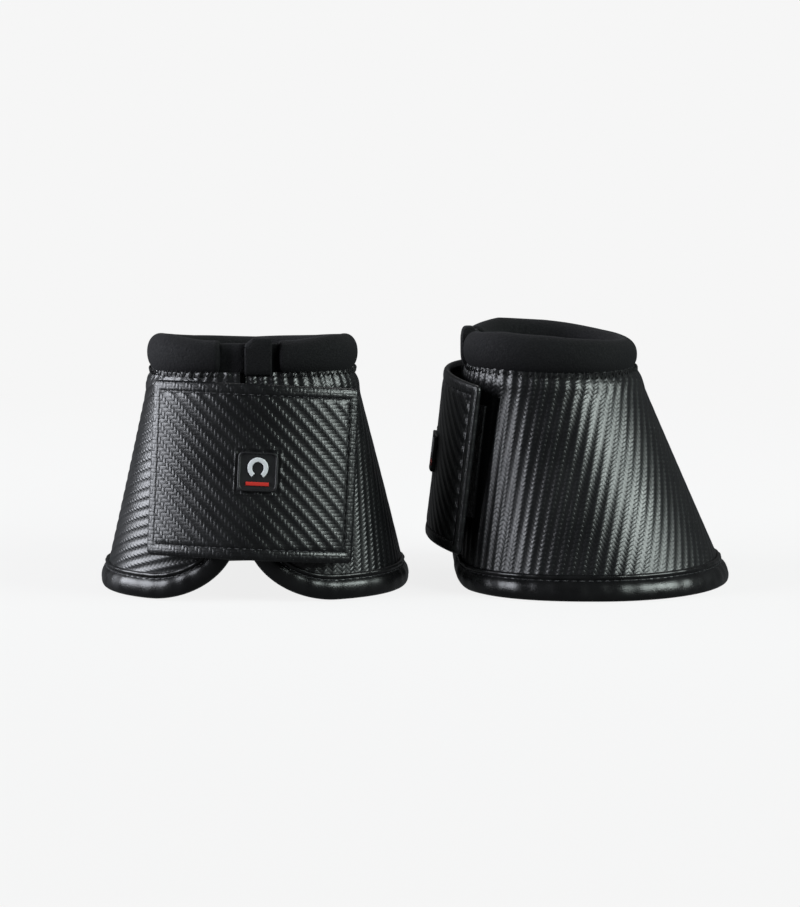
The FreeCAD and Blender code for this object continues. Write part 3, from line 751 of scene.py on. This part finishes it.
def outline(steps, inset, corner):
    """Half an outline's width and height drawn in by an inset, with rounded corners."""
    wide, tall, radius = FLAP_ARC - inset, FLAP_TALL - inset, max(corner - inset, 0.4)
    points = []
    for quarter, (sx, sy) in enumerate(((1, 1), (-1, 1), (-1, -1), (1, -1))):
        centre = np.array([sx * (wide - radius), sy * (tall - radius)])
        for step in range(9):
            turn = (quarter + step / 8) * math.pi / 2
            points.append(centre + radius * np.array([math.cos(turn), math.sin(turn)]))
        ahead = ((-1, 1), (-1, -1), (1, -1), (1, 1))[quarter]
        following = np.array([ahead[0] * (wide - radius), ahead[1] * (tall - radius)])
        turn = (quarter + 1) * math.pi / 2
        start, end = points[-1], following + radius * np.array([math.cos(turn), math.sin(turn)])
        points += [start + (end - start) * share for share in np.linspace(0, 1, steps + 2)[1:-1]]
    return np.array(points)


hem_rings = np.stack([outline(60, inset, 3.0) for inset, _ in HEM_SECTION], 1)
hem_rings[..., 1] += FLAP_MIDDLE
hem_depth = np.array([depth for _, depth in HEM_SECTION])[None, :] * np.ones(hem_rings.shape[:2])
left_side = (hem_rings[..., 0] < 0) & (np.abs(hem_rings[..., 1] - FLAP_MIDDLE) < FLAP_TALL - HEM_WIDE)
hem_depth += np.where(hem_depth < 1.0, flap_lie(hem_rings[..., 0], hem_rings[..., 1]), 0)
hem_depth = np.where(left_side & (hem_depth < 1.0) & (np.arange(len(HEM_SECTION)) < 4)[None, :],
                     hem_depth.clip(None, 0.25), hem_depth)
hem_points = flap(hem_rings[..., 0], hem_rings[..., 1], hem_depth)


def flap_slab(columns, rows, left, right, low, high, front, back, waves=0.0):
    """A layer of the flap between two depths."""
    arc = np.linspace(left, right, columns + 1)[:, None]
    up = np.concatenate([np.linspace(0, 1, rows + 1), [1.0, 0.0]])[None, :]
    arc, level = np.broadcast_arrays(arc, low + (high - low) * up)
    ripple = waves * np.sin(arc / 3.1) * np.sin(level / 4.3)
    return flap(arc, level, np.where(np.arange(rows + 3) <= rows, front + ripple, back))


def flap_row(points, lift=0.15):
    """Stitch ends and outward directions along points (arc, height, depth) of the flap."""
    at = flap(*points.T)
    out = flap(points[:, 0], points[:, 1], points[:, 2] - 1.0) - at
    starts, ends = between(at + out * lift, 0.15)
    return starts, ends, out[:-1]


def straight_row(start, end, depth):
    """A straight run of stitches from one (arc, height) to another."""
    start, end = np.array(start, float), np.array(end, float)
    steps = int(np.linalg.norm(end - start) / FLAP_STITCH)
    run = start + (end - start) * np.linspace(0, 1, steps + 1)[:, None]
    return flap_row(np.concatenate([run, np.full((steps + 1, 1), depth)], 1))


hem_line_arc, hem_line_tall = FLAP_ARC - HEM_WIDE + 0.1, FLAP_TALL - HEM_WIDE + 0.1
corners = [(-hem_line_arc, FLAP_MIDDLE + hem_line_tall), (hem_line_arc, FLAP_MIDDLE + hem_line_tall),
           (hem_line_arc, FLAP_MIDDLE - hem_line_tall), (-hem_line_arc, FLAP_MIDDLE - hem_line_tall)]
hem_rows = [straight_row(a, b, 0.55) for a, b in zip(corners, corners[1:])]
hem_stitches = [np.concatenate(parts) for parts in zip(*hem_rows)]

padding_points = flap_slab(24, 20, -inner_arc, inner_arc, FLAP_LOW + HEM_WIDE, FLAP_HIGH - HEM_WIDE,
                           1.55, 2.55)
backing_low, backing_high = FLAP_LOW + HEM_WIDE - 0.3, FLAP_HIGH - HEM_WIDE + 0.3
backing_points = flap_slab(60, 50, -inner_arc, inner_arc, backing_low, backing_high,
                           2.6, FLAP_THICK, 0.08)
backing_cloth = knit("flap_backing_cloth", "#1c1c20", 0.9, 0.18, 0.12)
for side in BOOTS:
    lap = f"{side}_outer_lap"
    face_piece = sewn(f"{side}_flap_face", flap_points, side, cut)
    dress(face_piece, twill_pu, "carbon_pu", lap, f"{side}_outer_flap_skin")
    hem = sewn(f"{side}_flap_hem", hem_points, side, hem_rings, round_way=True)
    dress(hem, twill_pu, "carbon_pu", lap, f"{side}_outer_flap_hem")
    padding = sewn(f"{side}_flap_padding", padding_points, side)
    dress(padding, backing_cloth, "foam", lap, f"{side}_outer_flap_padding")
    backing = sewn(f"{side}_flap_backing", backing_points, side)
    dress(backing, backing_cloth, "lining_neoprene", lap, f"{side}_outer_flap_backing")
    sewing = stitches(f"{side}_flap_stitching", *hem_stitches, 0.42, 0.5, side)
    dress(sewing, black_thread, "carbon_pu", lap)

# ---------------------------------------- hook and loop tapes
# Woven nylon tape with stiff moulded hooks on the laps, and with brushed loops on the shell.  They
# grip each other when the laps are closed and show only while they are open.

HOOK_PITCH = 1.7
LOOP_PANEL = (-1.5, 45, 40, 101)                # left, right, low and high
FLAP_TAPE = (14, 42, 45.3, 104.7)
LAP_TAPE = (-1.5, 12, 45, 93)


def tape_finish(name, yarn_hex, pitch, deep, sheen):
    """Nylon tape: satin yarn, with the bases of its hooks or loops as small bumps."""
    material = blank_material(name)
    tree = material.node_tree
    spot = add(tree, "ShaderNodeTexCoord").outputs["Object"]
    bumps = add(tree, "ShaderNodeTexVoronoi", spot, None, 1000.0 / pitch, feature="SMOOTH_F1")
    pile = add(tree, "ShaderNodeTexNoise", spot, None, 1500.0, 6.0)        # single filaments
    height = add(tree, MATH, bumps, -1.2, pile, operation="MULTIPLY_ADD")
    bump = add(tree, "ShaderNodeBump", 1.0, deep * MM, None, height)
    tone = add(tree, "ShaderNodeMix", pile, data_type="RGBA",
               named={6: to_linear("#0b0b0d"), 7: to_linear(yarn_hex)})
    shader = add(tree, "ShaderNodeBsdfPrincipled", named={
        "Base Color": tone.outputs[2], "Roughness": 0.62, "Normal": bump,
        "Sheen Weight": sheen, "Sheen Roughness": 0.35})
    add(tree, "ShaderNodeOutputMaterial", shader)
    return material


def hook_rows(name, roots, outward, along, tall, boot):
    """Moulded hooks: short slanted bars of six sides that stand on a tape's base."""
    outward = outward / np.linalg.norm(outward, axis=1, keepdims=True)
    starts = roots - along * 0.25
    ends = roots + along * 0.35 + outward * tall
    return stitches(name, starts, ends, np.cross(along, outward), 0.16, 0.0, boot)


def wall_slab(x_left, x_right, low, high, inner, outer, columns, rows, waves=0.0):
    """A layer on the front of the bell between two offsets, seen on its outer face."""
    x = np.linspace(x_left, x_right, columns + 1)
    up = np.concatenate([np.linspace(0, 1, rows + 1), [1.0, 0.0]])
    heights = np.broadcast_to((low + (high - low) * up)[None, :], (columns + 1, rows + 3))
    shares = np.stack([np.interp(x, bell(FRONT, z)[:, 0], FRONT) for z in heights[0]], 1)
    ripple = waves * np.sin(shares * BASE_ROUND / 1.3) * np.sin(heights / 1.7)
    return bell(shares, heights, np.where(np.arange(rows + 3) <= rows, outer + ripple, inner))


hook_nylon = tape_finish("hook_tape_nylon", "#0f0f11", 1.7, 0.20, 0.02)
loop_nylon = tape_finish("loop_tape_nylon", "#222226", 1.0, 0.45, 0.45)
webbing = tape_finish("lap_webbing", "#1a1a1d", 2.2, 0.25, 0.15)
hook_arc, hook_level = np.meshgrid(np.arange(FLAP_TAPE[0] + 1.0, FLAP_TAPE[1] - 0.5, HOOK_PITCH),
                                   np.arange(FLAP_TAPE[2] + 1.0, FLAP_TAPE[3] - 1.0, HOOK_PITCH))
hook_arc, hook_level = hook_arc.ravel(), hook_level.ravel()
hook_roots = flap(hook_arc, hook_level, 4.1)
hook_away = flap(hook_arc, hook_level, 5.1) - hook_roots
hook_along = flap(hook_arc, hook_level + 1.0, 4.1) - hook_roots
lap_x, lap_level = np.meshgrid(np.arange(LAP_TAPE[0] + 0.9, LAP_TAPE[1] - 0.4, HOOK_PITCH),
                               np.arange(LAP_TAPE[2] + 1.0, LAP_TAPE[3] - 0.5, HOOK_PITCH))
lap_share = np.array([float(share_at(x, z)) for x, z in zip(lap_x.ravel(), lap_level.ravel())])
lap_roots = bell(lap_share, lap_level.ravel(), 2.95)
lap_away = bell(lap_share, lap_level.ravel(), 1.95) - lap_roots
lap_along = bell(lap_share, lap_level.ravel() + 1.0, 2.95) - lap_roots

for side in BOOTS:
    boot, outer_lap, inner_closure = f"{side}_boot", f"{side}_outer_lap", f"{side}_inner_lap_closure"
    loops = sewn(f"{side}_loop_tape", wall_slab(*LOOP_PANEL, 0.0, 1.35, 90, 120, 0.14), side)
    dress(loops, loop_nylon, "loop_tape", boot, f"{side}_loop_panel")
    tape = sewn(f"{side}_flap_hook_base", flap_slab(30, 60, *FLAP_TAPE, 3.45, 4.15, 0.05), side)
    dress(tape, hook_nylon, "hook_tape", outer_lap, f"{side}_outer_flap_hook_tape")
    hooks = hook_rows(f"{side}_flap_hooks", hook_roots, hook_away, hook_along, 0.6, side)
    dress(hooks, hook_nylon, "hook_tape", outer_lap)
    lap_tape = sewn(f"{side}_lap_hook_base", wall_slab(*LAP_TAPE, 2.95, 3.4, 16, 40, 0.03), side)
    dress(lap_tape, hook_nylon, "hook_tape", inner_closure, f"{side}_inner_lap_hook_tape")
    hooks = hook_rows(f"{side}_lap_hooks", lap_roots, lap_away, lap_along, 0.8, side)
    dress(hooks, hook_nylon, "hook_tape", inner_closure)

# ---------------------------------------- inner lap
# A short lap of nylon webbing under the big one, box-stitched to the shell's left front and held
# by its own strip of hooks: it takes the strain before the flap goes over it.

LAP_LOW, LAP_HIGH = 42, 96
lap_points = wall_slab(-41.4, 13, LAP_LOW, LAP_HIGH, 3.5, 5.1, 70, 70, 0.06)
root_points = wall_slab(-44, -34, LAP_LOW, LAP_HIGH, 0.0, 2.0, 14, 60, 0.05)
seam_levels = np.arange(LAP_LOW + 2.0, LAP_HIGH - 1.0, 3.6)
seam_share = np.array([float(share_at(11.0, level)) for level in seam_levels])
lap_seam = bell(seam_share, seam_levels, 5.2)
lap_out = bell(seam_share, seam_levels, 6.2) - lap_seam
lap_starts, lap_ends = between(lap_seam, 0.15)
for side in BOOTS:
    lap = sewn(f"{side}_inner_lap_webbing", lap_points, side)
    dress(lap, webbing, "lap_webbing", f"{side}_inner_lap_closure", f"{side}_inner_lap")
    root = sewn(f"{side}_inner_lap_root", root_points, side)
    dress(root, webbing, "lap_webbing", f"{side}_boot", f"{side}_inner_lap_root_strip")
    seam = stitches(f"{side}_inner_lap_stitching", lap_starts, lap_ends, lap_out[:-1], 0.4, 0.4, side)
    dress(seam, black_thread, "lap_webbing", f"{side}_inner_lap_closure")

# ---------------------------------------- flap's sewn edge
# The allowance by which the flap's left edge is sewn down to the shell: PU leathercloth folded
# back on itself.

ANCHOR_ARCS = -FLAP_ARC + np.array([-0.7, 3.3, 7.3])
anchor_box = [Vector(corner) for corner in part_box("left_outer_flap_anchor")]
anchor_low, anchor_high = [(BOOTS["left"].inverted() @ corner) / MM for corner in anchor_box]
levels = np.linspace(anchor_low.z + 0.8, anchor_high.z - 0.8, 60)
rows = []
for level in levels:
    outer = flap(ANCHOR_ARCS, level, FLAP_THICK + 0.75)
    outer[:, 2] = level
    inner = bell(np.array([share_at(x, level) for x in outer[::-1, 0]]), level, 0.05)
    rows.append(np.concatenate([inner, outer]))
anchor_points = np.array(rows)
for side in BOOTS:
    anchor = sewn(f"{side}_flap_sewn_edge", anchor_points, side, sharp=40.0)
    dress(anchor, binding_pu, "lap_webbing", f"{side}_boot", f"{side}_outer_flap_anchor")

# ---------------------------------------- badge
# A square of moulded black rubber with a raised rim, welded to the middle of the flap; on it a
# horseshoe over a bar, moulded in coloured rubber.

BADGE_TURN = 96
# share of the half side, height over the flap's face: floor, rim, rounded outer edge
BADGE_PROFILE = [(0.0, 1.45), (0.45, 1.45), (0.86, 1.45), (0.885, 1.55), (0.90, 2.05), (0.93, 2.2),
                 (0.965, 2.15), (0.99, 1.9), (1.0, 1.5), (1.0, 0.2), (0.97, -0.5)]


def rubber(name, colour_hex, roughness):
    """Moulded silicone rubber: matt, with a fine spark-eroded grain from its mould."""
    material = blank_material(name)
    tree = material.node_tree
    spot = add(tree, "ShaderNodeTexCoord").outputs["Object"]
    grain = add(tree, "ShaderNodeTexNoise", spot, None, 2500.0, 2.0)       # mould grain, 0.4 mm
    dust = add(tree, "ShaderNodeTexNoise", spot, None, 260.0, 3.0)         # handled patches, 4 mm
    bump = add(tree, "ShaderNodeBump", 0.5, 0.05 * MM, None, grain)
    shine = add(tree, "ShaderNodeMapRange", dust, 0.3, 0.7, roughness - 0.05, roughness + 0.08)
    colour = to_linear(colour_hex)
    dulled = [channel * 0.82 for channel in colour[:3]] + [1.0]
    tone = add(tree, "ShaderNodeMix", dust, data_type="RGBA", named={6: colour, 7: dulled})
    shader = add(tree, "ShaderNodeBsdfPrincipled", named={
        "Base Color": tone.outputs[2], "Roughness": shine, "Normal": bump})
    add(tree, "ShaderNodeOutputMaterial", shader)
    return material


def on_badge(across, up, out):
    """Points over the flap's face, from the badge's middle."""
    return flap(BADGE_ARC + across, BADGE_HEIGHT + up, -out)


turn = np.linspace(0, 2 * np.pi, BADGE_TURN, endpoint=False) + 0.001
squared = (np.abs(np.cos(turn)) ** 9 + np.abs(np.sin(turn)) ** 9) ** (-1 / 9) * BADGE_SIDE / 2
shape = np.array(BADGE_PROFILE)
badge_points = on_badge((squared * np.cos(turn))[:, None] * shape[None, :, 0],
                        (squared * np.sin(turn))[:, None] * shape[None, :, 0], shape[None, :, 1] - 0.25)


def moulded_bar(path, half, tall):
    """A raised bar of the motif along a path (across, up), with softly rounded top edges."""
    path = np.asarray(path, float)
    ahead = np.gradient(path, axis=0)
    ahead /= np.linalg.norm(ahead, axis=1, keepdims=True)
    aside = np.stack([-ahead[:, 1], ahead[:, 0]], -1)
    section = [(-1.0, 0.0), (-1.0, 0.65), (-0.86, 0.95), (-0.6, 1.0),
               (0.6, 1.0), (0.86, 0.95), (1.0, 0.65), (1.0, 0.0)]
    place = np.stack([path + aside * half * across for across, _ in section], 1)
    lift = np.array([height * tall for _, height in section])[None, :] * np.ones(place.shape[:2])
    return on_badge(place[..., 0], place[..., 1], 1.2 + lift)


SHOE_RADIUS, SHOE_UP = 4.2, 2.2     # the horseshoe's middle line and its centre over the badge's
shoe_turn = np.radians(np.linspace(-57, 237, 60))
shoe = np.stack([SHOE_RADIUS * np.cos(shoe_turn), SHOE_UP + SHOE_RADIUS * np.sin(shoe_turn)], -1)
shoe[:, 1] += np.where(shoe[:, 1] < SHOE_UP, (shoe[:, 1] - SHOE_UP) * 0.15, 0)
bar = np.stack([np.linspace(-6.0, 6.0, 24), np.full(24, -6.4)], -1)
badge_rubber = rubber("badge_silicone_rubber", "#101013", 0.55)
white_rubber = rubber("motif_white_rubber", "#e9ebee", 0.45)
red_rubber = rubber("motif_red_rubber", "#d8352b", 0.45)
for side in BOOTS:
    lap = f"{side}_outer_lap"
    badge = sewn(f"{side}_badge_square", badge_points.transpose(1, 0, 2), side)
    dress(badge, badge_rubber, "badge_rubber", lap, f"{side}_badge")
    horseshoe = sewn(f"{side}_badge_horseshoe", moulded_bar(shoe, 1.2, 0.6), side)
    dress(horseshoe, white_rubber, "motif_rubber", lap, f"{side}_badge_motif")
    under_bar = sewn(f"{side}_badge_bar", moulded_bar(bar, 1.0, 0.6), side)
    dress(under_bar, red_rubber, "motif_rubber", lap)
